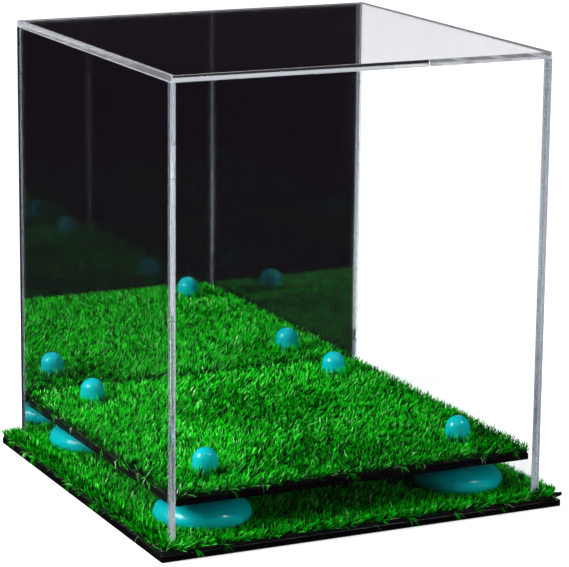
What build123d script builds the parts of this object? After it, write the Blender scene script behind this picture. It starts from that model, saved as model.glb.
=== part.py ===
from build123d import *
from math import atan, cos, degrees, hypot, radians, sin
import os

# A display case: a turf-covered base board, a lift-off clear cover whose back wall is
# a mirror, and a turf-covered platform on four risers that stands inside the cover.
# Millimetres. Origin at the centre of the base's underside, +Z up, front towards -Y.

# Cover: outer size, and its sheets of 3/16 inch acrylic
cover_width = 290.5
cover_depth = 290.5
cover_height = 322.3
panel_thickness = 4.76
top_thickness = 4.76
mirror_thickness = 4.76
polished_edge = 0.5
top_corner_radius = 1.5

# Base: how far the board reaches past the cover, and its thickness
base_border = 11.9
base_board_thickness = 4.76
base_corner_radius = 1.2

# Artificial turf: backing, dense lower pile, blade tips, and the pile pressed flat
turf_backing_thickness = 2.5
turf_edge_inset = 1.0
pile_edge_inset = 0.6
thatch_height = 2.5
pile_height = 6.5
pressed_pile = 0.8
wall_groove_clearance = 0.5
foot_recess_clearance = 0.6
cap_hole_clearance = 0.5

# Tufts of blades that stand out of the dense pile, each leaning its own way
tuft_root_radius = 1.3
tuft_tip_radius = 0.35
tuft_root_depth = 0.9
tuft_lean = 2.2
tuft_lean_step = 137.5
tuft_sides = 3
deck_tuft_spacing = 20.5
field_tuft_spacing = 32.0
border_tuft_spacing = 12.0

# Platform: gap all round to the cover's inner faces, and its board
deck_clearance = 1.6
deck_board_thickness = 4.76
deck_corner_radius = 1.2

# Risers: where they stand from the platform's edge, and the bun-shaped foot
riser_inset = 38.1
foot_height = 24.6
foot_radius = 33.0
foot_widest_height = 5.5
foot_heel_inset = 4.0
foot_crown_radius = 9.6
foot_crown_sweep = 76.0
hub_wall = 7.0
hub_height = 6.4
socket_radius = 5.0
socket_chamfer = 0.6

# Riser cap: flange on the turf backing, flared skirt, dome, stem with crush ribs
flange_radius = 13.0
flange_thickness = 4.0
skirt_height = 4.5
dome_radius = 9.0
dome_centre_height = 11.3
stem_reach = 13.0
stem_end_clearance = 1.5
stem_chamfer = 1.0
stem_hole_clearance = 0.4
rib_count = 6
rib_height = 0.38
rib_width = 1.2
rib_fit = 0.02

# Levels, from the table upwards
base_board_top = base_board_thickness
base_backing_top = base_board_top + turf_backing_thickness
seat_level = base_backing_top + pressed_pile
cover_top = seat_level + cover_height
wall_top = cover_top - top_thickness
deck_underside = seat_level + foot_height
deck_board_top = deck_underside + deck_board_thickness
deck_backing_top = deck_board_top + turf_backing_thickness

# Plan sizes that follow from the cover
base_width = cover_width + 2 * base_border
base_depth = cover_depth + 2 * base_border
inside_left = -cover_width / 2 + panel_thickness
inside_right = cover_width / 2 - panel_thickness
inside_front = -cover_depth / 2 + panel_thickness
inside_back = cover_depth / 2 - mirror_thickness
deck_width = inside_right - inside_left - 2 * deck_clearance
deck_depth = inside_back - inside_front - 2 * deck_clearance
deck_middle_y = (inside_front + inside_back) / 2
tuft_rise = pile_height - thatch_height + tuft_root_depth
tuft_length = hypot(tuft_lean, tuft_rise)
tuft_taper = degrees(atan((tuft_root_radius - tuft_tip_radius) / 2 / tuft_length))

# Riser sizes that follow from the socket, the foot and the boards
hub_radius = socket_radius + hub_wall
hub_root_height = foot_height - hub_height
socket_depth = stem_reach + stem_end_clearance
rib_radius = socket_radius - rib_fit
stem_radius = rib_radius - rib_height
stem_length = turf_backing_thickness + deck_board_thickness + stem_reach
stem_hole_radius = socket_radius + stem_hole_clearance
foot_recess_radius = foot_radius + foot_recess_clearance
cap_hole_radius = flange_radius + cap_hole_clearance

riser_x = deck_width / 2 - riser_inset
riser_y = deck_depth / 2 - riser_inset
riser_spots = {
    "front_left": (-riser_x, deck_middle_y - riser_y),
    "front_right": (riser_x, deck_middle_y - riser_y),
    "back_left": (-riser_x, deck_middle_y + riser_y),
    "back_right": (riser_x, deck_middle_y + riser_y),
}


def upright_plane(spot, level):
    """A plane standing on a riser's axis, for the half profile that is turned."""
    return Plane(origin=(*spot, level), x_dir=(1, 0, 0), z_dir=(0, -1, 0))


def even_steps(low, high, spacing):
    """Evenly spaced places from low to high, about the given spacing apart."""
    count = max(1, round((high - low) / spacing))
    return [low + (high - low) * step / count for step in range(count + 1)]


def clear_of_risers(spot, radius):
    """True where a tuft keeps off the rings of this radius about the riser axes."""
    keep_off = radius + tuft_root_radius + tuft_lean
    return all(hypot(spot[0] - x, spot[1] - y) > keep_off for x, y in riser_spots.values())


def tuft_planes(spots, thatch_top):
    """One plane per tuft, sunk in the dense pile and square to the way the tuft leans."""
    planes = []
    for number, (x, y) in enumerate(spots):
        turn = radians(number * tuft_lean_step)
        planes.append(
            Plane(
                origin=(x, y, thatch_top - tuft_root_depth),
                x_dir=(-sin(turn), cos(turn), 0),
                z_dir=(tuft_lean * cos(turn), tuft_lean * sin(turn), tuft_rise),
            )
        )
    return planes


# Base board
with BuildPart() as base_board:
    with BuildSketch():
        RectangleRounded(base_width, base_depth, base_corner_radius)
    extrude(amount=base_board_thickness)
    top_edges = base_board.faces().sort_by(Axis.Z)[-1].edges()
    chamfer(top_edges, polished_edge)

# Turf on the base: backing glued to the board
base_turf_width = base_width - 2 * turf_edge_inset
base_turf_depth = base_depth - 2 * turf_edge_inset
with BuildPart() as base_turf_backing:
    with BuildSketch(Plane.XY.offset(base_board_top)):
        Rectangle(base_turf_width, base_turf_depth)
    extrude(amount=turf_backing_thickness)

# Its pile, pressed flat in a groove under the cover's walls and in rounds under the feet
base_pile_width = base_turf_width - 2 * pile_edge_inset
base_pile_depth = base_turf_depth - 2 * pile_edge_inset
groove_outer_width = cover_width + 2 * wall_groove_clearance
groove_outer_depth = cover_depth + 2 * wall_groove_clearance
groove_inner_width = inside_right - inside_left - 2 * wall_groove_clearance
groove_inner_depth = inside_back - inside_front - 2 * wall_groove_clearance
border_x = (groove_outer_width + base_pile_width) / 4
border_y = (groove_outer_depth + base_pile_depth) / 4
field_x = groove_inner_width / 2 - tuft_root_radius - tuft_lean
field_y = groove_inner_depth / 2 - tuft_root_radius - tuft_lean

border_columns = even_steps(-border_x, border_x, border_tuft_spacing)
border_rows = even_steps(-border_y, border_y, border_tuft_spacing)[1:-1]
base_tuft_spots = [(x, y) for x in border_columns for y in (-border_y, border_y)]
base_tuft_spots += [(x, y) for y in border_rows for x in (-border_x, border_x)]
base_tuft_spots += [
    (x, y + deck_middle_y)
    for x in even_steps(-field_x, field_x, field_tuft_spacing)
    for y in even_steps(-field_y, field_y, field_tuft_spacing)
    if clear_of_risers((x, y + deck_middle_y), foot_recess_radius)
]

with BuildPart() as base_turf_pile:
    with BuildSketch(Plane.XY.offset(base_backing_top)):
        Rectangle(base_pile_width, base_pile_depth)
    extrude(amount=thatch_height)
    with BuildSketch(Plane.XY.offset(seat_level)):
        Rectangle(groove_outer_width, groove_outer_depth)
        with Locations((0, deck_middle_y)):
            Rectangle(groove_inner_width, groove_inner_depth, mode=Mode.SUBTRACT)
        with Locations(*riser_spots.values()):
            Circle(foot_recess_radius)
    extrude(amount=thatch_height, mode=Mode.SUBTRACT)
    with BuildSketch(*tuft_planes(base_tuft_spots, base_backing_top + thatch_height)):
        RegularPolygon(tuft_root_radius, tuft_sides)
    extrude(amount=tuft_length, taper=tuft_taper)

# Cover: front wall over the full width, its upright outer edges polished
wall_height = wall_top - seat_level
with BuildPart() as front_panel:
    with BuildSketch(Plane.XY.offset(seat_level)):
        with Locations((0, (inside_front - cover_depth / 2) / 2)):
            Rectangle(cover_width, panel_thickness)
    extrude(amount=wall_height)
    fillet(front_panel.edges().filter_by(Axis.Z).group_by(Axis.Y)[0], polished_edge)

# Mirrored back wall over the full width
with BuildPart() as back_mirror:
    with BuildSketch(Plane.XY.offset(seat_level)):
        with Locations((0, (inside_back + cover_depth / 2) / 2)):
            Rectangle(cover_width, mirror_thickness)
    extrude(amount=wall_height)
    fillet(back_mirror.edges().filter_by(Axis.Z).group_by(Axis.Y)[-1], polished_edge)

# Side walls, which fit between the front wall and the mirror
side_length = inside_back - inside_front
with BuildPart() as left_panel:
    with BuildSketch(Plane.XY.offset(seat_level)):
        with Locations(((inside_left - cover_width / 2) / 2, deck_middle_y)):
            Rectangle(panel_thickness, side_length)
    extrude(amount=wall_height)

with BuildPart() as right_panel:
    with BuildSketch(Plane.XY.offset(seat_level)):
        with Locations(((inside_right + cover_width / 2) / 2, deck_middle_y)):
            Rectangle(panel_thickness, side_length)
    extrude(amount=wall_height)

# Top sheet, which lies on the four walls, its corners rounded and its upper rim eased
with BuildPart() as top_panel:
    with BuildSketch(Plane.XY.offset(wall_top)):
        RectangleRounded(cover_width, cover_depth, top_corner_radius)
    extrude(amount=top_thickness)
    chamfer(top_panel.faces().sort_by(Axis.Z)[-1].edges(), polished_edge)

# Platform board with a hole for each riser's stem
with BuildPart() as deck_board:
    with BuildSketch(Plane.XY.offset(deck_underside)):
        with Locations((0, deck_middle_y)):
            RectangleRounded(deck_width, deck_depth, deck_corner_radius)
        with Locations(*riser_spots.values()):
            Circle(stem_hole_radius, mode=Mode.SUBTRACT)
    extrude(amount=deck_board_thickness)
    deck_bottom_rim = deck_board.faces().sort_by(Axis.Z)[0].outer_wire().edges()
    chamfer(deck_bottom_rim, polished_edge)

# Turf on the platform: backing with the same four holes
deck_turf_width = deck_width - 2 * turf_edge_inset
deck_turf_depth = deck_depth - 2 * turf_edge_inset
with BuildPart() as deck_turf_backing:
    with BuildSketch(Plane.XY.offset(deck_board_top)):
        with Locations((0, deck_middle_y)):
            Rectangle(deck_turf_width, deck_turf_depth)
        with Locations(*riser_spots.values()):
            Circle(stem_hole_radius, mode=Mode.SUBTRACT)
    extrude(amount=turf_backing_thickness)

# Its pile, cut round about each cap's flange
deck_pile_width = deck_turf_width - 2 * pile_edge_inset
deck_pile_depth = deck_turf_depth - 2 * pile_edge_inset
deck_field_x = deck_pile_width / 2 - tuft_root_radius - pile_edge_inset
deck_field_y = deck_pile_depth / 2 - tuft_root_radius - pile_edge_inset
deck_tuft_spots = [
    (x, y + deck_middle_y)
    for x in even_steps(-deck_field_x, deck_field_x, deck_tuft_spacing)
    for y in even_steps(-deck_field_y, deck_field_y, deck_tuft_spacing)
    if clear_of_risers((x, y + deck_middle_y), cap_hole_radius)
]

with BuildPart() as deck_turf_pile:
    with BuildSketch(Plane.XY.offset(deck_backing_top)):
        with Locations((0, deck_middle_y)):
            Rectangle(deck_pile_width, deck_pile_depth)
        with Locations(*riser_spots.values()):
            Circle(cap_hole_radius, mode=Mode.SUBTRACT)
    extrude(amount=thatch_height)
    with BuildSketch(*tuft_planes(deck_tuft_spots, deck_backing_top + thatch_height)):
        RegularPolygon(tuft_root_radius, tuft_sides)
    extrude(amount=tuft_length, taper=tuft_taper)

pieces = {
    "base_board": base_board,
    "base_turf_backing": base_turf_backing,
    "base_turf_pile": base_turf_pile,
    "front_panel": front_panel,
    "left_panel": left_panel,
    "right_panel": right_panel,
    "top_panel": top_panel,
    "back_mirror": back_mirror,
    "deck_board": deck_board,
    "deck_turf_backing": deck_turf_backing,
    "deck_turf_pile": deck_turf_pile,
}

# Risers: a turned foot with a socket, and a turned cap whose ribbed stem drops into it
for corner, spot in riser_spots.items():
    axis = Axis((*spot, 0), (0, 0, 1))
    with BuildPart() as riser_foot:
        with BuildSketch(upright_plane(spot, seat_level)):
            with BuildLine():
                crown_centre = (foot_radius - foot_crown_radius, foot_widest_height)
                crown = CenterArc(crown_centre, foot_crown_radius, 0, foot_crown_sweep)
                Polyline(
                    crown @ 1,
                    (hub_radius, hub_root_height),
                    (hub_radius, foot_height),
                    (0, foot_height),
                    (0, 0),
                    (foot_radius - foot_heel_inset, 0),
                    crown @ 0,
                )
            make_face()
        revolve(axis=axis)
        with Locations((*spot, seat_level + foot_height)):
            Hole(socket_radius, socket_depth)
        round_edges = riser_foot.edges().filter_by(GeomType.CIRCLE)
        socket_edges = round_edges.filter_by(lambda edge: edge.radius == socket_radius)
        chamfer(socket_edges.sort_by(Axis.Z)[-1], socket_chamfer)
    pieces[f"riser_foot_{corner}"] = riser_foot

    with BuildPart() as riser_cap:
        with BuildSketch(upright_plane(spot, deck_backing_top)):
            with BuildLine():
                dome = CenterArc((0, dome_centre_height), dome_radius, 0, 90)
                Polyline(
                    dome @ 0,
                    (dome_radius, flange_thickness + skirt_height),
                    (flange_radius, flange_thickness),
                    (flange_radius, 0),
                    (stem_radius, 0),
                    (stem_radius, stem_chamfer - stem_length),
                    (stem_radius - stem_chamfer, -stem_length),
                    (0, -stem_length),
                    dome @ 1,
                )
            make_face()
        revolve(axis=axis)
        with BuildSketch(Plane((*spot, deck_backing_top + stem_chamfer - stem_length))):
            with PolarLocations(stem_radius, rib_count):
                Rectangle(2 * rib_width, rib_width)
            Circle(rib_radius, mode=Mode.INTERSECT)
        extrude(amount=stem_reach - stem_chamfer)
    pieces[f"riser_cap_{corner}"] = riser_cap

os.makedirs("parts", exist_ok=True)
for name, piece in pieces.items():
    piece.part.label = name
    export_step(piece.part, f"parts/{name}.step")
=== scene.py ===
# %% [markdown]
# # A clear display case with a mirrored back and artificial turf
#
# The imported model is the frame: every piece below takes its place from the node that it stands for.
# Loading it first, and keeping its box, gives the measure that the looks must not outgrow. It is
# loaded first, so that each node's box can be read from it.

# %% Load the frame
import math
import bmesh
import bpy
import numpy as np
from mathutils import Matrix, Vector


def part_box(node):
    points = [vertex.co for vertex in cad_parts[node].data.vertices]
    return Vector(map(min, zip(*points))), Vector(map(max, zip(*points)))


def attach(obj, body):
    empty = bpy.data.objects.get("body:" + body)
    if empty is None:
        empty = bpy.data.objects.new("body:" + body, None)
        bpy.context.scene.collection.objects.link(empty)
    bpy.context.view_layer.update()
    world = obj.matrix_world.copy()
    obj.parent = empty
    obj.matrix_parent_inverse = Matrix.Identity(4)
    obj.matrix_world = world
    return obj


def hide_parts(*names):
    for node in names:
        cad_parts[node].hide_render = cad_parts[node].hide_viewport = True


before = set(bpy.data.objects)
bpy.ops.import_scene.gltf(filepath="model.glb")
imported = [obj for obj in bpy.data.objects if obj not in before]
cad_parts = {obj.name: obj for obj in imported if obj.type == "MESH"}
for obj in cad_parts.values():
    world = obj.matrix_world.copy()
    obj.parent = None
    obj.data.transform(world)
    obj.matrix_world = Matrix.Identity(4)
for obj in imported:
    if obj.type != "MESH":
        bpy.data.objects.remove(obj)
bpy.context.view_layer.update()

MM = 0.001
scene = bpy.context.scene

# %% [markdown]
# ## The camera
#
# The case is seen from its front left, from a little above, with a long lens: its upright edges
# stay nearly parallel. A long lens is a narrow angle of view, so the camera stands almost two
# metres away. The tiny roll is the tilt of the photographer's camera.

# %% Place the camera
from mathutils import Quaternion, Vector

CAMERA_PLACE = Vector((-0.8531, -1.7836, 0.6082))
CAMERA_TARGET = Vector((0.0090, 0.0, 0.1453))
CAMERA_LENS = 173.97
CAMERA_ROLL = math.radians(0.574)


def in_scene(name, data):
    """A new object that shows the data, linked to the scene."""
    made = bpy.data.objects.new(name, data)
    scene.collection.objects.link(made)
    return made


camera = in_scene("camera", bpy.data.cameras.new("camera"))
camera.location = CAMERA_PLACE
gaze = (CAMERA_TARGET - CAMERA_PLACE).to_track_quat("-Z", "Y")
camera.rotation_euler = (gaze @ Quaternion((0, 0, 1), CAMERA_ROLL)).to_euler()
camera.data.lens = CAMERA_LENS
camera.data.sensor_width = 36
camera.data.sensor_fit = "HORIZONTAL"
camera.data.clip_start = 0.05
scene.camera = camera
print("camera to target, m:", round((CAMERA_TARGET - CAMERA_PLACE).length, 3))

# %% [markdown]
# ## Shader maths in plain Python
#
# A material is a graph of nodes. Wiring each Math node by hand hides the sum that it does, so a
# wrapped socket here has the usual operators: `1 - mask * 0.5` adds the nodes that work it out.
# Every other node comes from one method: its type, its settings, and what goes into its sockets.

# %% A small language for materials
class Value:
    """One number in a material. Each operator adds the Math node that works it out."""

    def __init__(self, graph, socket):
        self.graph = graph
        self.socket = socket

    def math(self, operation, first, second):
        settings = {"operation": operation}
        return self.graph.add("ShaderNodeMath", settings, {0: first, 1: second})["Value"]

    def __add__(self, other):
        return self.math("ADD", self, other)

    def __sub__(self, other):
        return self.math("SUBTRACT", self, other)

    def __rsub__(self, other):
        return self.math("SUBTRACT", other, self)

    def __mul__(self, other):
        return self.math("MULTIPLY", self, other)

    def above(self, limit):
        return self.math("GREATER_THAN", self, limit)

    def larger(self, other):
        return self.math("MAXIMUM", self, other)

    def size(self):
        return self.math("ABSOLUTE", self, 0)

    __radd__ = __add__
    __rmul__ = __mul__


class Node:
    """A node whose outputs are read by name as Values."""

    def __init__(self, graph, node):
        self.graph = graph
        self.node = node

    def __getitem__(self, name):
        return Value(self.graph, self.node.outputs[name])


class Graph:
    """The node tree of one material, one lamp or the world."""

    def __init__(self, tree):
        self.tree = tree
        tree.nodes.clear()

    def add(self, kind, settings=None, inputs=None):
        """Adds a node: settings are set first, then each socket gets its value or its link."""
        node = self.tree.nodes.new(kind)
        for name, value in (settings or {}).items():
            if name == "stops":
                self.set_stops(node.color_ramp, value)
            else:
                setattr(node, name, value)
        for name, value in (inputs or {}).items():
            if isinstance(value, Value):
                self.tree.links.new(value.socket, node.inputs[name])
            else:
                node.inputs[name].default_value = value
        return Node(self, node)

    def set_stops(self, ramp, stops):
        """Makes the ramp's stops from pairs of a position and a colour."""
        while len(ramp.elements) < len(stops):
            ramp.elements.new(1)
        for element, (position, colour) in zip(ramp.elements, stops):
            element.position = position
            element.color = (*colour, 1)

    def mix(self, share, first, second):
        """The colour that is first where share is 0 and second where it is 1."""
        def paint(colour):
            return colour if isinstance(colour, Value) else (*colour, 1)
        inputs = {0: share, 6: paint(first), 7: paint(second)}
        return Value(self, self.add("ShaderNodeMix", {"data_type": "RGBA"}, inputs).node.outputs[2])

    def blend(self, share, first, second):
        """The shader that is first where share is 0 and second where it is 1."""
        return self.add("ShaderNodeMixShader", None, {0: share, 1: first, 2: second})["Shader"]

    def place(self):
        """The point on the piece, in metres in the case's own frame."""
        return self.add("ShaderNodeTexCoord")["Object"]

    def noise(self, scale, detail=2, vector=None):
        inputs = {"Vector": vector or self.place(), "Scale": scale, "Detail": detail}
        return self.add("ShaderNodeTexNoise", None, inputs)["Fac"]

    def bump(self, height, depth, strength=1):
        """A normal for small relief: height from 0 to 1, depth in metres."""
        inputs = {"Height": height, "Distance": depth, "Strength": strength}
        return self.add("ShaderNodeBump", None, inputs)["Normal"]


def material(name, build):
    """A new material: build gets the graph and gives back the shader that covers the surface."""
    made = bpy.data.materials.new(name)
    made.use_nodes = True
    graph = Graph(made.node_tree)
    graph.add("ShaderNodeOutputMaterial", None, {"Surface": build(graph)})
    print("material", name, "has", len(made.node_tree.nodes), "nodes")
    return made


def surface(graph, **inputs):
    """A Principled shader. Its sockets are named in Python's way: base_color is Base Color."""
    named = {key.replace("_", " ").title().replace("Ior", "IOR"): v for key, v in inputs.items()}
    return graph.add("ShaderNodeBsdfPrincipled", None, named)["BSDF"]


# %% [markdown]
# ## From arrays to meshes
#
# Every new shape below is worked out as whole numpy arrays, and one function puts them into a
# Blender mesh. Two surfaces do most of the work: a profile turned round an axis, which is how a
# moulded knob or foot is drawn, and a flat slab with rounded edges, which is a sawn sheet whose
# edges were polished.

# %% Put arrays into a mesh
def piece(name, points, corners, sizes, looks, body, slot, smooth=None):
    """Makes an object from points in mm, face corners one after another, and the faces' sizes."""
    mesh = bpy.data.meshes.new(name)
    points = np.asarray(points, float).reshape(-1, 3) * MM
    corners = np.asarray(corners, np.int32).ravel()
    sizes = np.asarray(sizes, np.int32).ravel()
    mesh.vertices.add(len(points))
    mesh.vertices.foreach_set("co", points.astype(np.float32).ravel())
    mesh.loops.add(len(corners))
    mesh.loops.foreach_set("vertex_index", corners)
    mesh.polygons.add(len(sizes))
    starts = np.concatenate([[0], np.cumsum(sizes)[:-1]])
    mesh.polygons.foreach_set("loop_start", starts.astype(np.int32))
    mesh.update(calc_edges=True)
    mesh.validate()
    mesh.polygons.foreach_set("use_smooth", np.full(len(sizes), smooth is not None))
    if smooth is not None:
        mesh.set_sharp_from_angle(angle=math.radians(smooth))
    made = in_scene(name, mesh)
    for look in looks:
        mesh.materials.append(look)
    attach(made, body)
    print(name, "has", len(points), "points and", int((sizes - 2).sum()), "triangles")
    return made


def rings_to_faces(rings, around, low_pole, high_pole):
    """Faces of rings stacked upwards, each counted anticlockwise from above, closed at both ends.

    A pole is one point after the rings. Without it the end ring itself becomes one flat face.
    """
    step = np.arange(around)
    after = (step + 1) % around
    base = np.arange(rings - 1)[:, None] * around
    quads = np.stack([base + step, base + after, base + around + after, base + around + step], -1)
    corners = [quads.ravel()]
    sizes = [np.full((rings - 1) * around, 4)]
    top = (rings - 1) * around
    ends = ((low_pole, after, step, step[::-1]), (high_pole, top + step, top + after, top + step))
    for pole, first, second, ring in ends:
        flat = pole is None
        corners.append(ring if flat else np.stack([np.full(around, pole), first, second], -1).ravel())
        sizes.append([around] if flat else np.full(around, 3))
    return np.concatenate(corners), np.concatenate(sizes)


# %% [markdown]
# A turned piece needs only half of its outline, as on a lathe: the function carries it round.

# %% Turn a profile
def turned(profile, centre, around=96):
    """Carries a profile of (radius, height) pairs round an upright axis.

    A point is the centre plus radius times (cos a, sin a), and height. The profile runs from the
    axis at the bottom, outwards, up, and back to the axis at the top.
    """
    profile = np.asarray(profile, float)
    radius, height = profile[1:-1].T
    angle = np.linspace(0, 2 * np.pi, around, endpoint=False)
    ring = np.stack([np.cos(angle), np.sin(angle)], -1)
    points = np.empty((len(radius), around, 3))
    points[..., :2] = centre[:2] + radius[:, None, None] * ring
    points[..., 2] = centre[2] + height[:, None]
    poles = np.array([[centre[0], centre[1], centre[2] + profile[i, 1]] for i in (0, -1)])
    count = len(radius) * around
    corners, sizes = rings_to_faces(len(radius), around, count, count + 1)
    return np.concatenate([points.reshape(-1, 3), poles]), corners, sizes


def arc(centre, half_axes, start, end, steps):
    """Points of an elliptical arc: the centre plus the half axes times (cos a, sin a), in degrees."""
    angle = np.radians(np.linspace(start, end, steps))
    return np.array(centre) + np.array(half_axes) * np.stack([np.cos(angle), np.sin(angle)], -1)


# %% [markdown]
# A slab's edges are rounded by rings of points and not by a modifier, so its two faces stay flat
# and its last face is known, which the mirror makes use of below.

# %% Round off a slab
def slab(low, high, axis=2, corner=1.0, edge=0.4, steps=3):
    """A sheet between two corner points in mm, with rounded corners and softened edges.

    Its outline is a rectangle with quarter circles at its corners. Rings of that outline, each a
    little further out as a quarter circle rises, make the lower edge, and the same in reverse the
    upper edge. Two flat faces close it. The thickness runs along axis.
    """
    low, high = np.asarray(low, float), np.asarray(high, float)
    across = [(axis + 1) % 3, (axis + 2) % 3]
    half = (high[across] - low[across]) / 2
    middle = (high[across] + low[across]) / 2
    turn = np.radians(np.linspace(0, 90, steps + 1))
    inset = edge * (1 - np.sin(turn))
    level = edge * (1 - np.cos(turn))
    insets = np.concatenate([inset, inset[::-1]])
    levels = np.concatenate([low[axis] + level, high[axis] - level[::-1]])
    bend = np.radians(np.linspace(0, 90, 2 * steps + 1))
    bends = bend + np.radians([[0], [90], [180], [270]])
    signs = np.array([[1, 1], [-1, 1], [-1, -1], [1, -1]])[:, None, :]
    centres = signs * (half - corner)
    radius = np.maximum(corner - insets, 0.02)[:, None, None, None]
    outline = centres + radius * np.stack([np.cos(bends), np.sin(bends)], -1)
    around = outline.shape[1] * outline.shape[2]
    points = np.empty((len(levels), around, 3))
    points[..., across] = middle + outline.reshape(len(levels), around, 2)
    points[..., axis] = levels[:, None]
    corners, sizes = rings_to_faces(len(levels), around, None, None)
    return points, corners, sizes


# %% [markdown]
# ## Clear acrylic
#
# The four clear sheets are cast acrylic, 3/16 inch thick, whose edges are sawn and flame polished.
# Looked at through their faces they almost vanish, and at their edges light is trapped and bent, so
# that the edges show as bright and dark lines. Painting those lines would be wrong from every other
# side, so the sheets are real solids with acrylic's refractive index, and most of the lines come by
# themselves.
#
# Light that enters an edge bounces along inside the sheets many times before it leaves, so rays are
# allowed far more bounces than Blender's usual few.

# %% Allow light to run inside the sheets
scene.cycles.max_bounces = 90
scene.cycles.glossy_bounces = 72
scene.cycles.transmission_bounces = 40
scene.cycles.transparent_max_bounces = 40


def box_mm(node, gap=0):
    """The lowest and highest corner of a CAD node, in mm, moved inwards by gap."""
    low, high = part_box(node)
    return np.array(low) / MM + gap, np.array(high) / MM - gap


(WALL_INSIDE, _, _), (WALL_HIGH, _, WALL_TOP) = box_mm("right_panel")
print("inside of the walls, mm:", round(WALL_INSIDE, 2), "their tops:", round(WALL_TOP, 2))

# %% [markdown]
# Light that goes through a refracting solid reaches what is behind it only by chance, which leaves
# the inside dark and grainy. For shadow rays and for light that has bounced off something matt, the
# sheets therefore let everything through.
#
# The sheets are welded with a solvent that melts their faces into one, so light crosses a joint
# without being bent, but the sawn face under the weld leaves a faint white haze, thicker along its
# two rims, where the solvent dries first, and a bubble in it still has two faces. The material knows
# the joints by their place: there it is a thin whitish film that lets light straight through, except in
# spots of a fine noise. The film is partly that haze and partly painted light: its grey stands in for
# the light that a real sheet's edges gather, and it is a lighter grey at the top welds. How strong
# the film is was set.

# %% Make clear acrylic
ACRYLIC_INDEX = 1.49
CEMENT = 0.02
JOINT_REACH = 2.5 * CEMENT
BUBBLE_NOISE = 420
BUBBLE_LIMIT = 0.70
# Strength of the weld film: partly haze, partly painted light for what the sheets' edges gather.
CORE_HAZE_AND_PAINTED_LIGHT = 0.10
RIM_HAZE_AND_PAINTED_LIGHT = 0.36
RIM_WIDTH = 1.3
TOP_HAZE_AND_PAINTED_LIGHT = 0.60


def welded(graph):
    """Where a side wall's end is welded, how strong its haze and painted light are there, and where the
    top is welded on.
    """
    axes = graph.add("ShaderNodeSeparateXYZ", None, {"Vector": graph.place()})
    across, along, up = axes["X"].size(), axes["Y"].size(), axes["Z"]

    def near(way, level):
        return 1 - (way - level * MM).size().above(JOINT_REACH * MM)

    in_side_wall = across.above(WALL_INSIDE * MM)
    in_any_wall = in_side_wall.larger(along.above(WALL_INSIDE * MM))
    whole = 1 - graph.noise(BUBBLE_NOISE, 0).above(BUBBLE_LIMIT)
    core_half = (WALL_HIGH - WALL_INSIDE) / 2 - RIM_WIDTH
    in_rim = (across - (WALL_HIGH + WALL_INSIDE) / 2 * MM).size().above(core_half * MM)
    at_end = near(along, WALL_INSIDE) * in_side_wall * whole
    return at_end, CORE_HAZE_AND_PAINTED_LIGHT + (RIM_HAZE_AND_PAINTED_LIGHT - CORE_HAZE_AND_PAINTED_LIGHT) * in_rim, near(up, WALL_TOP) * in_any_wall * whole


def clear_acrylic(graph):
    """Acrylic for what is seen, haze and painted light at a weld, and nothing for shadows and bounced
    light.
    """
    path = graph.add("ShaderNodeLightPath")
    unseen = path["Is Shadow Ray"].larger(path["Is Diffuse Ray"])
    wipe_marks = graph.noise(9, 3)
    gloss = surface(
        graph, base_color=(0.985, 0.992, 0.996, 1), roughness=wipe_marks * 0.012,
        ior=ACRYLIC_INDEX, transmission_weight=1.0,
    )
    nothing = graph.add("ShaderNodeBsdfTransparent", None, {"Color": (0.97, 0.98, 0.98, 1)})["BSDF"]
    at_end, end_haze_and_painted_light, at_top = welded(graph)
    # The weld film's grey is partly haze and partly painted light, lighter at the top welds.
    colour = graph.mix(at_top, (0.40, 0.42, 0.48), (0.60, 0.61, 0.64))
    film = surface(graph, base_color=colour, roughness=1.0, specular_ior_level=0.0)
    weld = graph.blend(end_haze_and_painted_light * at_end + TOP_HAZE_AND_PAINTED_LIGHT * at_top, nothing, film)
    return graph.blend(unseen, graph.blend(at_end.larger(at_top), gloss, weld), nothing)


clear = material("clear_acrylic", clear_acrylic)

# %% [markdown]
# Two solids that share a face confuse a ray that passes there, so each sheet is a few hundredths of a
# millimetre smaller than its node, as thin as the weld.

# %% Cut the four clear sheets
SHEET_EDGE = 0.18
SHEET_CORNER = 0.5
TOP_CORNER = 1.5
SHEET_AXES = {"front_panel": 1, "left_panel": 0, "right_panel": 0, "top_panel": 2}

for node, axis in SHEET_AXES.items():
    low, high = box_mm(node, CEMENT)
    corner = TOP_CORNER if node == "top_panel" else SHEET_CORNER
    sheet = piece(node.replace("panel", "sheet"), *slab(low, high, axis, corner, SHEET_EDGE),
                  [clear], "cover", "clear_acrylic")
    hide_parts(node)

# %% [markdown]
# ## The mirrored back
#
# An acrylic mirror is a clear sheet with a film of aluminium on its back, and dark grey paint over
# the film. What is seen is deep: the picture stands behind the thickness of the sheet, whose clear
# edge shows at the case's back corners. So the sheet's back face alone gets the metal, and the coat
# of paint is a thin piece of its own.

# %% Silver and paint
def silver(graph):
    """A metal film, very slightly uneven, as the sheet is never quite flat."""
    ripple = graph.noise(6, 1)
    return surface(
        graph, base_color=(0.86, 0.87, 0.89, 1), metallic=1.0, roughness=0.015,
        normal=graph.bump(ripple, 0.0004, 0.25),
    )


def back_paint(graph):
    """Sprayed dark grey paint: a fine orange peel, with duller and shinier patches."""
    peel = graph.noise(900, 2)
    patches = graph.noise(14, 4)
    return surface(
        graph, base_color=graph.mix(patches, (0.020, 0.021, 0.024), (0.032, 0.033, 0.036)),
        roughness=0.38 + 0.22 * patches, normal=graph.bump(peel, 0.00004, 0.5),
    )


silvered = material("aluminium_film", silver)
painted = material("back_paint", back_paint)

# %% [markdown]
# The coat of paint lies behind the film and stops just short of the sheet's edges, as a sprayed coat
# does where the sheet was masked.

# %% Hang the mirror
PAINT_COAT = 0.16

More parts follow.
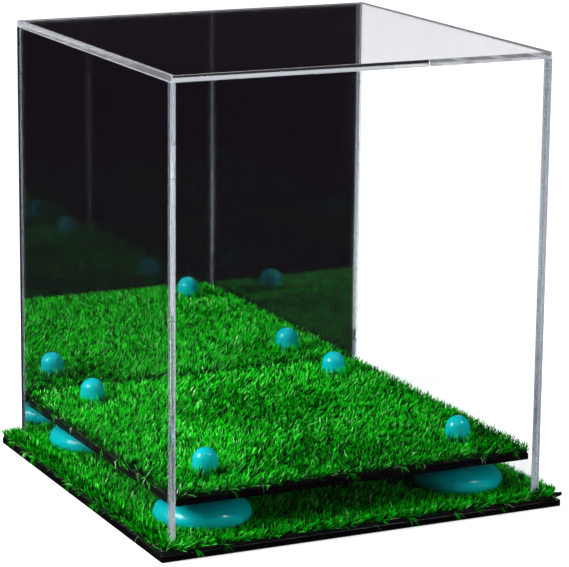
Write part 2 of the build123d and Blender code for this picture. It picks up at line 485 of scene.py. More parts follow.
low, high = box_mm("back_mirror", CEMENT)
glass_high = high - [0, PAINT_COAT + CEMENT, 0]
points, corners, sizes = slab(low, glass_high, 1, SHEET_CORNER, SHEET_EDGE)
mirror = piece("mirror_sheet", points, corners, sizes, [clear, silvered], "cover", "mirror_acrylic")
back_face = mirror.data.polygons[len(sizes) - 1]
back_face.material_index = 1
print("silvered face looks along", tuple(round(v, 2) for v in back_face.normal))
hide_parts("back_mirror")

coat_low = np.array([low[0] + SHEET_EDGE, glass_high[1] + CEMENT, low[2] + SHEET_EDGE])
coat_high = np.array([high[0] - SHEET_EDGE, high[1], high[2] - SHEET_EDGE])
coat = piece("mirror_paint", *slab(coat_low, coat_high, 1, SHEET_CORNER, 0.05, 2), [painted],
             "cover", "mirror_acrylic")
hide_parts("back_mirror")

# %% [markdown]
# ## Black acrylic boards
#
# The base and the platform are black acrylic. Their faces are covered by turf, so what shows is
# the sawn edge all round and the glossy underside of the platform. The CAD boards have the right
# outline and holes but knife-sharp edges, and no real edge is sharp: a Bevel modifier on a merged
# copy gives each one the thin line of light that a real edge catches.

# %% Black acrylic
def black_acrylic(graph):
    """Deep black gloss with faint handling scratches and a duller sawn edge."""
    place = graph.place()
    stretched = graph.add("ShaderNodeMapping", None, {"Vector": place, "Scale": (40, 40, 900)})["Vector"]
    saw_lines = graph.noise(1.0, 3, stretched)
    smears = graph.noise(18, 4)
    return surface(
        graph, base_color=graph.mix(smears, (0.0008, 0.0006, 0.0008), (0.0030, 0.0024, 0.0030)),
        roughness=0.10 + 0.16 * smears + 0.08 * saw_lines, ior=1.49, specular_ior_level=0.3,
        normal=graph.bump(saw_lines, 0.00003, 0.35),
    )


black = material("black_acrylic", black_acrylic)

# %% [markdown]
# A bevel needs whole faces, and a CAD mesh comes as loose triangles. So points in the same place are
# merged and flat neighbours joined, and the modifier rounds the edges that are left.

# %% Soften the boards' edges
BOARD_BEVEL = 0.3


def softened_board(node, body):
    """A merged copy of a CAD board, its flat faces joined up, with a Bevel modifier."""
    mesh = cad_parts[node].data.copy()
    mesh.name = node + "_softened"
    work = bmesh.new()
    work.from_mesh(mesh)
    bmesh.ops.remove_doubles(work, verts=work.verts, dist=1e-6)
    bmesh.ops.dissolve_limit(work, angle_limit=math.radians(0.5), verts=work.verts, edges=work.edges)
    work.to_mesh(mesh)
    work.free()
    mesh.materials.clear()
    mesh.materials.append(black)
    made = in_scene(node + "_softened", mesh)
    bevel = made.modifiers.new("soft edge", "BEVEL")
    bevel.width = BOARD_BEVEL * MM
    bevel.segments = 2
    bevel.limit_method = "ANGLE"
    bevel.angle_limit = math.radians(40)
    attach(made, body)
    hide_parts(node)
    print(made.name, "has", len(mesh.polygons), "faces before its bevel")


softened_board("base_board", "base")
softened_board("deck_board", "deck")

# %% [markdown]
# ## Turf backing
#
# Under the green is a woven sheet coated with black latex, cut with a knife: its rim is a little
# wavy, and at the base's front right corner it has come unstuck and curls up. A grid over the
# square, with an upper and a lower sheet of points and a rim between them, can carry both, which a
# plain slab can't.

# %% Black latex
def latex(graph):
    """Dull black with the weave showing through as two crossed sets of ridges."""
    place = graph.place()
    def ridges(direction):
        settings = {"wave_type": "BANDS", "bands_direction": direction}
        return graph.add("ShaderNodeTexWave", settings, {"Vector": place, "Scale": 170})["Fac"]
    weave = ridges("X").larger(ridges("Y"))
    lumps = graph.noise(700, 3)
    return surface(
        graph, base_color=graph.mix(lumps, (0.001, 0.001, 0.001), (0.008, 0.007, 0.008)),
        roughness=0.55 + 0.35 * lumps, specular_ior_level=0.12,
        normal=graph.bump(weave + lumps, 0.00015, 0.7),
    )


latex_black = material("black_latex", latex)

# %% [markdown]
# Both backings are one shape but for their lift: the platform's lies flat and the base's curls.

# %% Lay the backings
CURL_HEIGHT = 3.6
CURL_REACH = 17
CURL_OUTWARDS = 1.6
RIM_POWER = 24
KNIFE_INSET = 0.2


def corner_distance(x, y):
    """The way along x plus the way along y to the base turf's front right corner, in mm."""
    low, high = BASE_BACKING
    return (high[0] - x) + (y - low[1])


def curl(x, y):
    """How far the base's turf has lifted at (x, y), in mm.

    It is the curl's height times the square of the share of its reach, measured along the
    diagonal towards the front right corner.
    """
    return CURL_HEIGHT * np.clip(1 - corner_distance(x, y) / CURL_REACH, 0, 1) ** 2


BASE_BACKING = box_mm("base_turf_backing")
DECK_BACKING = box_mm("deck_turf_backing")


def backing(name, box, lift, body, node, seed, cells=90):
    """A knife-cut sheet: two grids of points, upper and lower, joined by a wavy rim.

    A point is the grid's place plus a slow random sway that grows towards the rim, and the lift.
    """
    rng = np.random.default_rng(seed)
    low, high = box
    share = np.linspace(0, 1, cells + 1)
    x, y = np.meshgrid(low[0] + share * (high[0] - low[0]), low[1] + share * (high[1] - low[1]))
    phase = rng.uniform(0, 2 * np.pi, 4)
    rim = np.clip(np.abs(np.stack([x, y])) / high[0], 0, 1) ** RIM_POWER
    sway_x = 0.18 * np.sin(y / 9 + phase[0]) + 0.14 * np.sin(y / 2.9 + phase[1])
    sway_y = 0.18 * np.sin(x / 8 + phase[2]) + 0.14 * np.sin(x / 3.3 + phase[3])
    x = x - np.sign(x) * rim[0] * (KNIFE_INSET + sway_x)
    y = y - np.sign(y) * rim[1] * (KNIFE_INSET + sway_y)
    raised = lift(x, y)
    outwards = CURL_OUTWARDS * raised / CURL_HEIGHT
    x, y = x + outwards, y - outwards
    sheets = [np.stack([x, y, level + raised], -1) for level in (high[2], low[2])]
    side = cells + 1
    index = np.arange(side * side).reshape(side, side)
    quads = np.stack([index[:-1, :-1], index[:-1, 1:], index[1:, 1:], index[1:, :-1]], -1).reshape(-1, 4)
    rim_walk = np.concatenate([index[0, :-1], index[:-1, -1], index[-1, :0:-1], index[:0:-1, 0]])
    ahead = np.roll(rim_walk, -1)
    under = side * side
    walls = np.stack([rim_walk + under, ahead + under, ahead, rim_walk], -1)
    corners = np.concatenate([quads.ravel(), (quads[:, ::-1] + under).ravel(), walls.ravel()])
    made = piece(name, sheets, corners, np.full(len(corners) // 4, 4), [latex_black], body,
                 "turf_backing", smooth=35)
    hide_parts(node)


def no_lift(x, y):
    return 0 * x


backing("base_backing_sheet", BASE_BACKING, curl, "base", "base_turf_backing", 3)
backing("deck_backing_sheet", DECK_BACKING, no_lift, "deck", "deck_turf_backing", 4)

# %% [markdown]
# ## Turquoise risers
#
# Each riser is a wide bun-shaped foot under the platform, with a socket, and a domed cap on top
# whose stem goes down through the turf and the board into that socket. Both are moulded, so both
# are turned profiles. Their looks come from gloss: the dark underside of the platform shows in the
# foot's crown, and the lamps make streaks on its rim.

# %% Glossy plastic
def turquoise(graph):
    """Smooth glossy plastic with a faint orange peel and a little dust."""
    peel = graph.noise(260, 2)
    dust = graph.noise(45, 5)
    return surface(
        graph, base_color=graph.mix(dust, (0.000, 0.325, 0.345), (0.001, 0.370, 0.390)),
        roughness=0.12 + 0.08 * dust, ior=1.5, specular_ior_level=0.3,
        normal=graph.bump(peel, 0.00003, 0.4),
    )


plastic = material("turquoise_plastic", turquoise)

# %% [markdown]
# A foot rests on a flat sole, swells to its rim, and narrows to the hub that carries the platform.

# %% Turn the feet
SOCKET_RADIUS = 5.0
SOCKET_DEPTH = 14.5
HUB_RADIUS = 12.0

CORNERS = ("front_left", "front_right", "back_left", "back_right")


def foot_profile(height):
    """From the middle of the sole, over the heel, the wide rim and the crown, to the hub and socket."""
    sole = [[0, 0], [20, 0]]
    heel = arc((28, 5.5), (5, 5.5), -90, 0, 9)
    crown = arc((12, 5.5), (21, 12.2), 6, 78, 18)
    hub_foot = arc((HUB_RADIUS + 4.3, 21.3), (4.3, 4.0), 250, 180, 6)
    hub = [[HUB_RADIUS, height - 0.4], [HUB_RADIUS - 0.4, height]]
    socket = [[SOCKET_RADIUS + 0.5, height], [SOCKET_RADIUS, height - 0.5],
              [SOCKET_RADIUS, height - SOCKET_DEPTH], [0, height - SOCKET_DEPTH]]
    return np.concatenate([sole, heel, crown, hub_foot, hub, socket])


for corner in CORNERS:
    low, high = box_mm("riser_foot_" + corner)
    centre = np.array([*(low + high)[:2] / 2, low[2]])
    profile = foot_profile(high[2] - low[2] - CEMENT)
    foot = piece("foot_" + corner, *turned(profile, centre, 128), [plastic], "deck",
                 "turquoise_plastic", 32)
    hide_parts("riser_foot_" + corner)

# %% [markdown]
# A cap is a dome on a slightly flared skirt. Its flange lies on the backing, hidden in the pile.

# %% Turn the caps
STEM_RADIUS = 4.7
FLANGE_RADIUS = 13.0
FLANGE_THICKNESS = 1.5
SKIRT_RADIUS = 9.4
DOME_RADIUS = 8.9


def cap_profile(bottom, top):
    """From the stem's end, out under the flange, up its flare and over the dome.

    Heights are in mm above the turf backing.
    """
    dome_centre = top - DOME_RADIUS
    rim = FLANGE_THICKNESS / 2
    stem = [[0, bottom], [STEM_RADIUS - 1, bottom], [STEM_RADIUS, bottom + 1], [STEM_RADIUS, CEMENT]]
    flange = arc((FLANGE_RADIUS - rim, rim + CEMENT), (rim, rim), -90, 80, 7)
    fillet = arc((SKIRT_RADIUS + 1.1, FLANGE_THICKNESS + 1.1), (1.1, 1.1), 265, 190, 6)
    skirt = [[DOME_RADIUS + 0.3, dome_centre - 3.0], [DOME_RADIUS + 0.08, dome_centre - 1.4]]
    dome = arc((0, dome_centre), (DOME_RADIUS, DOME_RADIUS), 0, 90, 20)
    return np.concatenate([stem, flange, fillet, skirt, dome[:-1], [[0, top]]])


for corner in CORNERS:
    low, high = box_mm("riser_cap_" + corner)
    centre = np.array([*(low + high)[:2] / 2, DECK_BACKING[1][2]])
    profile = cap_profile(low[2] - centre[2], high[2] - centre[2])
    cap = piece("cap_" + corner, *turned(profile, centre, 72), [plastic], "deck",
                "turquoise_plastic", 40)
    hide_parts("riser_cap_" + corner)

# %% [markdown]
# ## Artificial grass
#
# The pile is cut plastic yarn, tufted through the backing in rows. It could be particles or hair,
# but hair has no mesh to hand on, so each blade is a small closed spike: three points at its root,
# three where it bends, and a tip. A fold along its middle gives it a lit side and a dark side, which
# is where the glitter of real turf comes from; a few blades carry a painted glint as well. All blades
# are worked out at once, from arrays of roots, headings, leans and lengths.

# %% Green plastic blades
def blade_green(graph):
    """Painted shade at the root and painted light towards the tip. A level of painted light of 0 is a
    shaded blade, 1 a lit one, up to 1.5 a painted glint, and 2 bleached yarn.
    """
    rise, tone = [graph.add("ShaderNodeAttribute", {"attribute_name": name})["Fac"]
                  for name in ("rise", "tone")]
    # Painted shade and painted light: one ramp for shaded blades and one for lit ones, each near black at
    # the root, where shade falls, and brighter towards the tip.
    dark = [(0.0, (0.000, 0.002, 0.000)), (0.55, (0.000, 0.010, 0.000)), (1.0, (0.000, 0.050, 0.001))]
    lit = [(0.0, (0.000, 0.010, 0.000)), (0.55, (0.002, 0.360, 0.002)), (1.0, (0.012, 1.000, 0.010))]
    shade, light = [graph.add("ShaderNodeValToRGB", {"stops": stops}, {"Fac": rise})["Color"]
                    for stops in (dark, lit)]
    green = graph.mix(tone, shade, light)
    # A painted glint: blades above level 1 are mixed towards pale green, more so nearer the tip.
    painted_glint = graph.mix(2 * rise * (tone - 1).larger(0), green, (0.32, 1.0, 0.28))
    bleached = tone.above(1.5)
    return surface(
        graph, base_color=graph.mix(bleached, painted_glint, (0.62, 0.72, 0.52)),
        roughness=0.18 + 0.08 * rise, ior=1.5, specular_tint=(0.1, 1.0, 0.12, 1), specular_ior_level=0.3,
    )


blade_material = material("green_blades", blade_green)

# %% [markdown]
# A real blade bends over under its own weight, more the higher up. A parabola does that with one
# number, and the same sum serves every blade.

# %% Grow blades from roots
RISE = np.array([0, 0, 0, 0.55, 0.55, 0.55, 1], np.float32)
BLADE_FACES = np.array([0, 1, 4, 3, 1, 2, 5, 4, 2, 0, 3, 5, 3, 4, 6, 4, 5, 6, 5, 3, 6, 0, 2, 1])
BLADE_SIZES = np.array([4, 4, 4, 3, 3, 3, 3])


def blades(roots, heading, tilt, curve, length, width, twist, press):
    """Seven points for each blade, as an array of blades by points by three.

    The middle line at share t of the length is root + length * (t * along + curve * t^2 * over):
    along leans from upright by tilt towards heading, and over is at right angles to it, downhill.
    press moves that line off what stands in its way. The root and the bend are triangles round it,
    a width wide and a fifth of a width deep, turned about the line by twist.
    """
    sin_h, cos_h = np.sin(heading), np.cos(heading)
    sin_t, cos_t = np.sin(tilt), np.cos(tilt)
    flat = np.zeros_like(heading)
    along = np.stack([cos_h * sin_t, sin_h * sin_t, cos_t], -1)
    over = np.stack([cos_h * cos_t, sin_h * cos_t, -sin_t], -1)
    side = np.stack([-sin_h, cos_h, flat], -1)
    t = np.array([0, 0.55, 1])[None, :, None]
    line = roots[:, None] + length[:, None, None] * (
        t * along[:, None] + curve[:, None, None] * t * t * over[:, None])
    line = press(line, roots)
    sin_w, cos_w = np.sin(twist)[:, None], np.cos(twist)[:, None]
    wide = (side * cos_w - over * sin_w) * width[:, None] / 2
    deep = (-side * sin_w - over * cos_w) * width[:, None] / 5
    points = np.empty((len(roots), 7, 3))
    for ring, size in ((0, 1.0), (1, 0.8)):
        points[:, 3 * ring] = line[:, ring] - size * wide
        points[:, 3 * ring + 1] = line[:, ring] + size * wide
        points[:, 3 * ring + 2] = line[:, ring] + size * deep
    points[:, 6] = line[:, 2]
    return points


def grass_piece(name, points, tone, body, node):
    """Puts a share of the blades into one mesh, with each point's rise and each blade's level of painted
    light.
    """
    count = len(points)
    corners = (np.arange(count)[:, None] * 7 + BLADE_FACES).ravel()
    made = piece(name, points, corners, np.tile(BLADE_SIZES, count), [blade_material], body, "turf_pile")
    for label, values in (("rise", np.tile(RISE, count)), ("tone", np.repeat(tone, 7))):
        layer = made.data.attributes.new(label, "FLOAT", "POINT")
        layer.data.foreach_set("value", values.astype(np.float32))
    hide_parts(node)


# %% [markdown]
# The walls and the feet stand in the grass and push it aside. A blade that grows next to one is
# bent along it: its middle line is moved out of the wall or the foot before its thickness is added,
# so it stays a whole blade.

# %% What pushes the grass aside
BLADE_ROOM = 0.4
INNER_LIMIT = WALL_INSIDE - BLADE_ROOM
FOOT_CENTRES = np.array([sum(box_mm("riser_foot_" + corner))[:2] / 2 for corner in CORNERS])
FOOT_RADIUS = 33.0


def off_axes(line, radius):
    """Moves points that are nearer than radius to a riser's axis straight out to that distance."""
    for centre in FOOT_CENTRES:
        away = line[..., :2] - centre
        distance = np.maximum(np.linalg.norm(away, axis=-1, keepdims=True), 1e-6)
        pushed = centre + away / distance * np.maximum(distance, radius)
        line = np.concatenate([np.where(distance < radius, pushed, line[..., :2]), line[..., 2:]], -1)
    return line


def press_base(line, roots):
    """Keeps blades rooted inside the walls inside, those outside outside, and all off the feet."""
    flat, root = line[..., :2], roots[:, None, :2]
    inside = np.all(np.abs(root) < WALL_INSIDE, axis=-1, keepdims=True)
    sign = np.sign(root)
    outer = sign * np.maximum(sign * flat, WALL_HIGH + BLADE_ROOM)
    sideways = np.abs(root[..., :1]) >= np.abs(root[..., 1:])
    beside = np.where(np.concatenate([sideways, ~sideways], -1), outer, flat)
    flat = np.where(inside, np.clip(flat, -INNER_LIMIT, INNER_LIMIT), beside)
    return off_axes(np.concatenate([flat, line[..., 2:]], -1), FOOT_RADIUS + BLADE_ROOM)


def press_deck(line, roots):
    """Keeps the platform's blades inside the walls and off the caps, which are wide only at the foot."""
    flat = np.clip(line[..., :2], -INNER_LIMIT, INNER_LIMIT)
    line = np.concatenate([flat, line[..., 2:]], -1)
    over_flange = line[..., 2:] > DECK_BACKING[1][2] + FLANGE_THICKNESS + BLADE_ROOM
    return off_axes(line, np.where(over_flange, SKIRT_RADIUS, FLANGE_RADIUS) + BLADE_ROOM)


# %% [markdown]
# Rows of tufts fill the square. Every tuft is a few blades from one hole. They share its lean and
# its painted light and fan out a little, so that the turf shows clumps with dark gaps between them,
# partly real shade and partly painted shade, and not an even fur. A slow field over the turf turns
# the lean, as packing and handling comb real turf.

# %% Sow the tufts
ROW_SPACING = 3.3
STITCH_SPACING = 2.5
ROOT_DEPTH = 0.25
ROOT_SCATTER = 0.34
LEAN_SCATTER = 16
LEAN_LIMIT = 100
# Painted shade and light: below the first level a blade is painted dark, and over the next span it grows
# to fully lit.
PAINTED_SHADE_LIMIT = 0.36
PAINTED_SHADE_TO_LIGHT = 0.28
PAINTED_GLINT_SHARE = 0.08
BLEACHED_TONE = 2


def tuft_grid(box, inset):
    """Row and stitch places over a box, in mm, as an array of points."""
    low, high = box[0][:2] + inset, box[1][:2] - inset
    rows = np.arange(low[0], high[0] + 0.01, ROW_SPACING)
    stitches = np.arange(low[1], high[1] + 0.01, STITCH_SPACING)
    return np.stack(np.meshgrid(rows, stitches, indexing="ij"), -1).reshape(-1, 2)


def combed(spots, seed):
    """The heading of each tuft: a field that turns slowly over the turf, plus the tuft's own turn."""
    rng = np.random.default_rng(seed)
    x, y = spots.T / 140
    field = -0.5 + 0.5 * y - 0.6 * x + 0.7 * np.sin(5.1 * x + seed) + 0.6 * np.sin(6.3 * y + 2 * seed)
    return field + rng.normal(0, 0.6, len(spots))


class Turf:
    """The level that a turf grows on, what presses its blades, and the blades sown so far."""

    def __init__(self, level, press):
        self.level, self.press, self.sown = level, press, []


def sow(turf, seed, spots, headings, per_tuft=4, lean=(2, 46), length=(5.0, 7.8), width=(0.55, 1.1),
        pale=0.003, droop=(0.02, 0.45), fan=0.5, turn=1.2, gleam=1.0, most=BLEACHED_TONE):
    """Adds blades for every tuft to a turf, as their points and their levels of painted light.

    A tuft leans towards its heading by an angle in the range lean, in degrees. Each blade has its
    tuft's heading, give or take fan, its lean and its painted light, plus some of its own, and bends
    over by droop and twists by up to turn. The painted light is pushed apart, to blades of nearly
    black painted shade and fully lit ones, and gleam dims it all. A share of the blades get a painted
    glint, and a share pale of them are bleached. No level is above most.
    """
    rng = np.random.default_rng(seed)
    tuft_lean = rng.uniform(*lean, len(spots))
    tuft_painted_light = rng.random(len(spots))
    own = np.repeat(np.arange(len(spots)), per_tuft)
    count = len(own)
    roots = np.empty((count, 3))
    roots[:, :2] = spots[own] + rng.normal(0, ROOT_SCATTER, (count, 2))
    roots[:, 2] = turf.level(roots[:, 0], roots[:, 1]) - ROOT_DEPTH
    heading = headings[own] + rng.normal(0, fan, count)
    own_lean = rng.normal(0, LEAN_SCATTER * fan + 3, count)
    tilt = np.radians(np.clip(tuft_lean[own] + own_lean, 0, LEAN_LIMIT))
    curve = rng.uniform(*droop, count)
    twist = rng.uniform(-turn, turn, count)
    # Painted light and shade: a blade's level mixes its tuft's and its own, pushed apart towards painted
    # shade and full painted light.
    mixed = 0.6 * tuft_painted_light[own] + 0.4 * rng.random(count)
    tone = gleam * np.clip((mixed - PAINTED_SHADE_LIMIT) / PAINTED_SHADE_TO_LIGHT, 0, 1)
    # Painted glints: a share of the blades is given a level above 1.
    painted_glint = rng.random(count) < PAINTED_GLINT_SHARE
    tone[painted_glint] = 1 + 0.5 * rng.random(np.count_nonzero(painted_glint))
    tone[rng.random(count) < pale] = BLEACHED_TONE
    lengths = rng.uniform(*length, count)
    widths = rng.uniform(*width, count)
    points = blades(roots, heading, tilt, curve, lengths, widths, twist, turf.press)
    turf.sown.append((points, np.minimum(tone, most)))
    print("sown", count, "blades in", len(spots), "tufts")


def deck_level(x, y):
    return DECK_BACKING[1][2] + no_lift(x, y)


def base_level(x, y):
    return BASE_BACKING[1][2] + curl(x, y)


deck_turf = Turf(deck_level, press_deck)
base_turf = Turf(base_level, press_base)

# %% [markdown]
# Grass grows all over the platform but under the caps' flanges. On the base, the part inside the
# walls comes first, without the four places where the feet stand.

# %% The platform's grass
def distance_to_risers(spots):
    return np.min(np.linalg.norm(spots[:, None] - FOOT_CENTRES, axis=-1), axis=1)


GRID_INSET = 1.2

deck_spots = tuft_grid(DECK_BACKING, GRID_INSET)
deck_spots = deck_spots[distance_to_risers(deck_spots) > FLANGE_RADIUS + 0.6]
sow(deck_turf, 11, deck_spots, combed(deck_spots, 11))

# %% The base's grass
base_spots = tuft_grid(BASE_BACKING, GRID_INSET)
reach = np.max(np.abs(base_spots), axis=1)
off_feet = distance_to_risers(base_spots) > FOOT_RADIUS + 0.9
base_spots = base_spots[(reach < WALL_INSIDE - 0.7) & off_feet]
sow(base_turf, 12, base_spots, combed(base_spots, 12))

# %% [markdown]
# Tufts that stand next to a cap, a foot or a wall hide where it meets the turf, so each of these
# gets a ring or a row of its own that leans towards it and closes the gap that the square grid
# leaves.

# %% Close the turf up to what stands in it
def rings(centres, radius, spacing):
    """Places round each centre and the headings from them back to it."""
    angle = np.arange(0, 2 * np.pi, spacing / radius)
    out = np.stack([np.cos(angle), np.sin(angle)], -1)
    spots = (centres[:, None] + radius * out).reshape(-1, 2)
    return spots, np.tile(angle + np.pi, len(centres))


def square_row(half, spacing, turn):
    """Places along the four sides of a square, and headings straight out of it, plus turn."""
    steps = np.arange(-half, half, spacing)
    edge = np.full_like(steps, half)
    sides = [(steps, -edge), (edge, steps), (-steps, edge), (-edge, -steps)]
    spots = np.concatenate([np.stack(side, -1) for side in sides])
    outwards = np.repeat(np.radians([-90, 0, 90, 180]), len(steps))
    return spots, outwards + turn


WALL_GAP = 0.9
WALL_STITCH = 1.7

sow(deck_turf, 31, *rings(FOOT_CENTRES, FLANGE_RADIUS + 0.7, 1.3), lean=(5, 35), length=(8.5, 12.5))
sow(base_turf, 32, *rings(FOOT_CENTRES, FOOT_RADIUS + 1.2, 1.8), per_tuft=3, lean=(0, 38),
    length=(5.0, 8.0))
sow(base_turf, 33, *square_row(WALL_INSIDE - WALL_GAP, WALL_STITCH, 0.0), lean=(0, 30),
    length=(5.5, 8.5))
sow(base_turf, 34, *square_row(WALL_HIGH + WALL_GAP, WALL_STITCH, math.pi), lean=(0, 20),
    length=(5.5, 8.5))

# %% [markdown]
# Outside the walls a narrow strip of turf is left. There the cover, each time that it is put on, has
# combed the tufts along the wall, so they lie in strokes with dark gaps between them, partly real
# shade and partly the painted shade of dark tufts.

# %% Comb the strip outside the walls
STRIP_COMB = 1.05
STROKE_SPACING = 2.9
STRIP_INSET = 3.2
STRIP_ROWS = np.linspace(WALL_HIGH + STRIP_INSET, BASE_BACKING[1][0] - STRIP_INSET, 3)

for number, half in enumerate(STRIP_ROWS):
    spots, headings = square_row(half, STROKE_SPACING, STRIP_COMB)
    kept = corner_distance(*spots.T) > 6
    sow(base_turf, 35 + number, spots[kept], headings[kept], per_tuft=7, lean=(14, 46),
        length=(5.5, 8.5), width=(0.55, 1.0), pale=0.004, droop=(0.02, 0.3), fan=0.24)

# %% [markdown]
# The cut edge is the untidiest part of real turf. The outermost tufts have lost their neighbours, so
# their lower halves show, dark with the painted shade at the blades' roots, and on the platform these
# tufts are dimmed all over as painted shade. Here and there one has frayed and hangs over the edge of
# the board, and single threads stick out.

# %% Fray the edges
LOOSE_THREADS = 30

# Painted shade: the platform's outermost tufts get only 0.45 of the painted light.
for turf, box, seed, frayed_tufts, gleam, lean in ((deck_turf, DECK_BACKING, 41, 44, 0.45, (15, 75)),
                                                   (base_turf, BASE_BACKING, 51, 26, 1.0, (8, 58))):
    spots, outwards = square_row(box[1][0] - 0.8, 1.9, 0.6)
    kept = np.flatnonzero(corner_distance(*spots.T) > 8)
    rng = np.random.default_rng(seed)
    frayed = rng.choice(kept, frayed_tufts, replace=False)
    loose = rng.choice(kept, LOOSE_THREADS, replace=False)
    sow(turf, seed, spots[kept], outwards[kept], lean=lean, length=(5.0, 8.0), width=(0.5, 0.9),
        gleam=gleam)
    sow(turf, seed + 1, spots[frayed], outwards[frayed], per_tuft=8, lean=(55, 100),
        length=(6.0, 10.0), width=(0.3, 0.7), pale=0.05, droop=(0.4, 1.0))
    sow(turf, seed + 2, spots[loose], outwards[loose], per_tuft=1, lean=(30, 100),
        length=(8.0, 13.0), width=(0.22, 0.36), pale=0.35, droop=(0.1, 0.8))

# %% [markdown]
# Under the walls and the feet the grass is pressed flat. That shows when the cover or the platform is
# lifted off, so the same blades are sown there too, lying down, over a thin mat of squashed ones
# that closes the gaps between them.

# %% The pressed mat
def mat_green(graph):
    """Blades squashed together, mottled with dark green and nearly black as painted shade between them.
    """
    strands = graph.noise(1400, 3)
    return surface(
        graph, base_color=graph.mix(strands, (0.000, 0.008, 0.001), (0.002, 0.060, 0.004)),
        roughness=0.6 + 0.3 * strands, normal=graph.bump(strands, 0.0003, 0.8),
    )


mat_material = material("pressed_mat", mat_green)
MAT_THICKNESS = 0.25
MAT_HALF = WALL_HIGH + 0.6
mat_low = np.array([-MAT_HALF, -MAT_HALF, BASE_BACKING[1][2] + CEMENT])
mat_high = np.array([MAT_HALF, MAT_HALF, mat_low[2] + MAT_THICKNESS])
mat = piece("pressed_mat", *slab(mat_low, mat_high, 2, 1.0, 0.1), [mat_material], "base", "turf_pile")
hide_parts("base_turf_pile")

# %% [markdown]
# A pressed blade is an ordinary one whose middle line is held between the mat and the soles. Its
# level of painted light has an upper limit, so it gets no painted glint and no bleaching.

# %% Lay the pressed blades
# Painted light: pressed blades are held to half of it.
PRESSED_PAINTED_LIGHT = 0.5
SOLE_LEVEL = box_mm("riser_foot_front_left")[0][2]


def press_flat(line, roots):
    """Keeps a blade's middle line between the mat and the sole that stands on it."""
    level = np.clip(line[..., 2:], mat_high[2] + CEMENT, SOLE_LEVEL - 0.3)
    return np.concatenate([line[..., :2], level], -1)


pressed_spots = tuft_grid(BASE_BACKING, GRID_INSET)
reach = np.max(np.abs(pressed_spots), axis=1)
under_wall = (reach > WALL_INSIDE - 0.5) & (reach < WALL_HIGH + 0.5)
under_foot = distance_to_risers(pressed_spots) < FOOT_RADIUS + 1
pressed_spots = pressed_spots[under_wall | under_foot]
pressed_turf = Turf(base_level, press_flat)
sow(pressed_turf, 61, pressed_spots, combed(pressed_spots, 13), lean=(84, 90), width=(0.7, 1.15),
    fan=0.3, turn=0.45, most=PRESSED_PAINTED_LIGHT)

# %% [markdown]
# One mesh with every blade would be heavy to handle, so each turf is cut into strips.

# %% Plant the turf
def plant(sown, strips, name, body, node):
    """Splits the blades into strips from left to right, each its own piece of the turf."""
    points, tone = [np.concatenate(arrays) for arrays in zip(*sown)]
    order = np.argsort(points[:, 0, 0], kind="stable")
    for number, strip in enumerate(np.array_split(order, strips), 1):
        grass_piece(f"{name}_{number}", points[strip], tone[strip], body, node)
    print(name, "has", len(points), "blades")


plant(deck_turf.sown, 4, "deck_grass", "deck", "deck_turf_pile")
plant(base_turf.sown + pressed_turf.sown, 5, "base_grass", "base", "base_turf_pile")

# %% [markdown]
# ## The studio
#
# The floor is pale and matt. It is white where it is only looked at, and still takes the case's
# soft shadow. The room behind the lamps is dark, as in any studio where mirrors are photographed:
# a bright one would turn the mirror, the black edges and the polished plastic grey. So a look
# straight at the world, or straight through clear sheets, finds white, and a ray that has met
# gloss on its way finds the dark room. One that was reflected many times has run along inside a
# sheet, and finds a patchy white: a stand-in for the light that a real sheet's edges gather.

# %% Floor and world
FLOOR_HALF = 7.0
FLOOR_LEVEL = -0.0004
FLOOR_FADE = 0.6
SEEN_THROUGH_SHEETS = 1.30
MOST_REFLECTIONS = 6.5
ROOM_BLACK = (0.0085, 0.0058, 0.0092)
AMBIENT = 0.18


def what_is_seen(graph, trapped_light):
    """How white a ray finds the room, whether it finds the dark of it, and whether it was trapped."""
    path = graph.add("ShaderNodeLightPath")
    looks = 1 - path["Is Diffuse Ray"].larger(path["Is Shadow Ray"])
    met_gloss = path["Glossy Depth"].above(0.5)
    trapped = path["Glossy Depth"].above(MOST_REFLECTIONS)
    straight = SEEN_THROUGH_SHEETS * path["Is Transmission Ray"] * (1 - met_gloss)
    white = path["Is Camera Ray"].larger(straight).larger(trapped_light * looks * trapped)
    return white, looks * met_gloss * (1 - trapped), looks * trapped


def floor_look(graph):
    """Matt off-white, lifted towards white for what is looked at, less so close to the case."""
    place = graph.place()
    distance = graph.add("ShaderNodeVectorMath", {"operation": "LENGTH"}, {0: place})["Value"]
    lift_stops = [(0.0, (0.34, 0.34, 0.34)), (0.30, (0.78, 0.78, 0.78)), (1.0, (0.92, 0.92, 0.92))]
    lift = graph.add("ShaderNodeValToRGB", {"stops": lift_stops}, {"Fac": distance * FLOOR_FADE})["Color"]
    white, dark, _ = what_is_seen(graph, 0.0)
    glow = graph.add("ShaderNodeEmission", None, {"Color": lift, "Strength": white})["Emission"]
    grain = graph.noise(60, 2)
    matt = surface(graph, base_color=graph.mix(grain, (0.86, 0.86, 0.86), (0.88, 0.88, 0.88)),
                   roughness=0.8, specular_ior_level=0.1)
    lit = graph.add("ShaderNodeAddShader", None, {0: matt, 1: glow})["Shader"]
    unlit = graph.add("ShaderNodeEmission", None, {"Color": (*ROOM_BLACK, 1)})["Emission"]
    return graph.blend(dark, lit, unlit)


def plane(name, corner_points, look):
    """A flat four-cornered stage piece, its corners in metres."""
    mesh = bpy.data.meshes.new(name)
    mesh.from_pydata(corner_points, [], [(0, 1, 2, 3)])
    made = in_scene(name, mesh)
    mesh.materials.append(look)
    return made


floor_corners = [(x * FLOOR_HALF, y * FLOOR_HALF, FLOOR_LEVEL)
                 for x, y in ((-1, -1), (1, -1), (1, 1), (-1, 1))]
plane("floor", floor_corners, material("floor", floor_look))

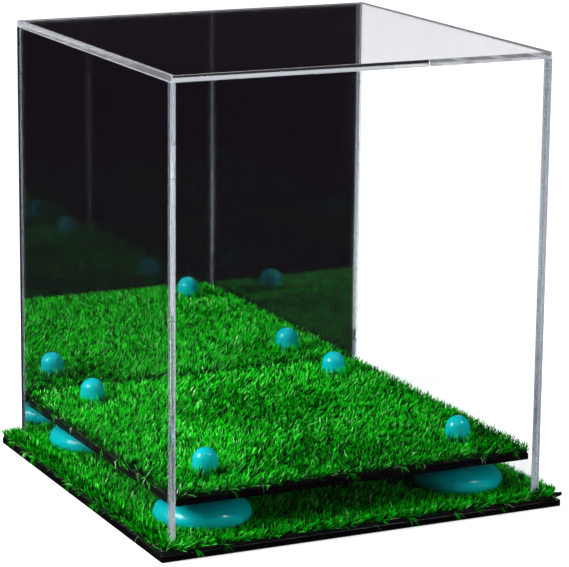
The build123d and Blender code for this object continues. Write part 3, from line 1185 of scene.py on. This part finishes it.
world = bpy.data.worlds.new("studio")
scene.world = world
world.use_nodes = True
sky = Graph(world.node_tree)
direction = sky.add("ShaderNodeTexCoord")["Generated"]
bright_and_dark = sky.noise(2.6, 1, direction)
white, dark, trapped = what_is_seen(sky, 1.1 * bright_and_dark - 0.02)
colour = sky.mix(dark, sky.mix(trapped, (1, 1, 1), (0.88, 0.91, 1.0)), ROOM_BLACK)
strength = white.larger(AMBIENT).larger(dark)
glow = sky.add("ShaderNodeBackground", None, {"Color": colour, "Strength": strength})
sky.add("ShaderNodeOutputWorld", None, {"Surface": glow["Background"]})

# %% [markdown]
# A white card stands behind the case on its right. Only the polished top catches it, at a grazing
# angle, and the card exists only for rays that have met gloss.

# %% The card behind
def card_look(graph):
    """White for rays that have met gloss, and nothing for all others."""
    met = graph.add("ShaderNodeLightPath")["Glossy Depth"].above(0.5)
    paper = graph.add("ShaderNodeEmission", None, {"Color": (0.76, 0.76, 0.79, 1)})["Emission"]
    nothing = graph.add("ShaderNodeBsdfTransparent")["BSDF"]
    return graph.blend(met, nothing, paper)


CARD_BACK = 2.0
CARD_SHAPE = [(1.105, 0.60), (2.2, 0.91), (2.2, 1.6), (1.105, 1.6)]

card_corners = [(across, CARD_BACK, up) for across, up in CARD_SHAPE]
card = plane("card_behind", card_corners, material("white_card", card_look))
card.visible_camera = card.visible_diffuse = card.visible_shadow = False

# %% [markdown]
# The main soft box hangs low and close on the left: it rakes over the grass and makes the bright
# streaks on the plastic. A smaller one high at the front right makes the second, fainter streaks, one
# low at the front reaches in under the platform without showing in anything polished, and one
# overhead reaches down between the blades. A lamp's power is set from the level that it gives on
# the case, face on: 1 shows a colour as it is written, and the main box is above it, for contrast.

# %% Hang the lamps
def soft_box(name, place, size, level, target=(0, 0, 0.08)):
    """An area lamp. Its power is level * pi^2 * distance^2: what gives that level, face on."""
    lamp = bpy.data.lights.new(name, "AREA")
    lamp.shape = "RECTANGLE"
    lamp.size, lamp.size_y = size
    towards = Vector(target) - Vector(place)
    lamp.energy = level * math.pi ** 2 * towards.length_squared
    made = in_scene(name, lamp)
    made.location = place
    made.rotation_euler = towards.to_track_quat("-Z", "Y").to_euler()
    print(name, round(lamp.energy, 1), "W")
    return made


soft_box("key_left", (-0.60, 0.02, 0.42), (0.33, 0.31), 2.05)
soft_box("fill_right", (0.86, -0.96, 1.61), (0.38, 0.24), 0.31)
low_front = soft_box("low_front", (0.70, -0.90, 0.25), (0.60, 0.30), 0.32)
low_front.visible_glossy = low_front.visible_transmission = False
soft_box("overhead", (-0.3, -0.5, 2.2), (0.9, 0.9), 0.08)
scene.view_settings.view_transform = "Standard"
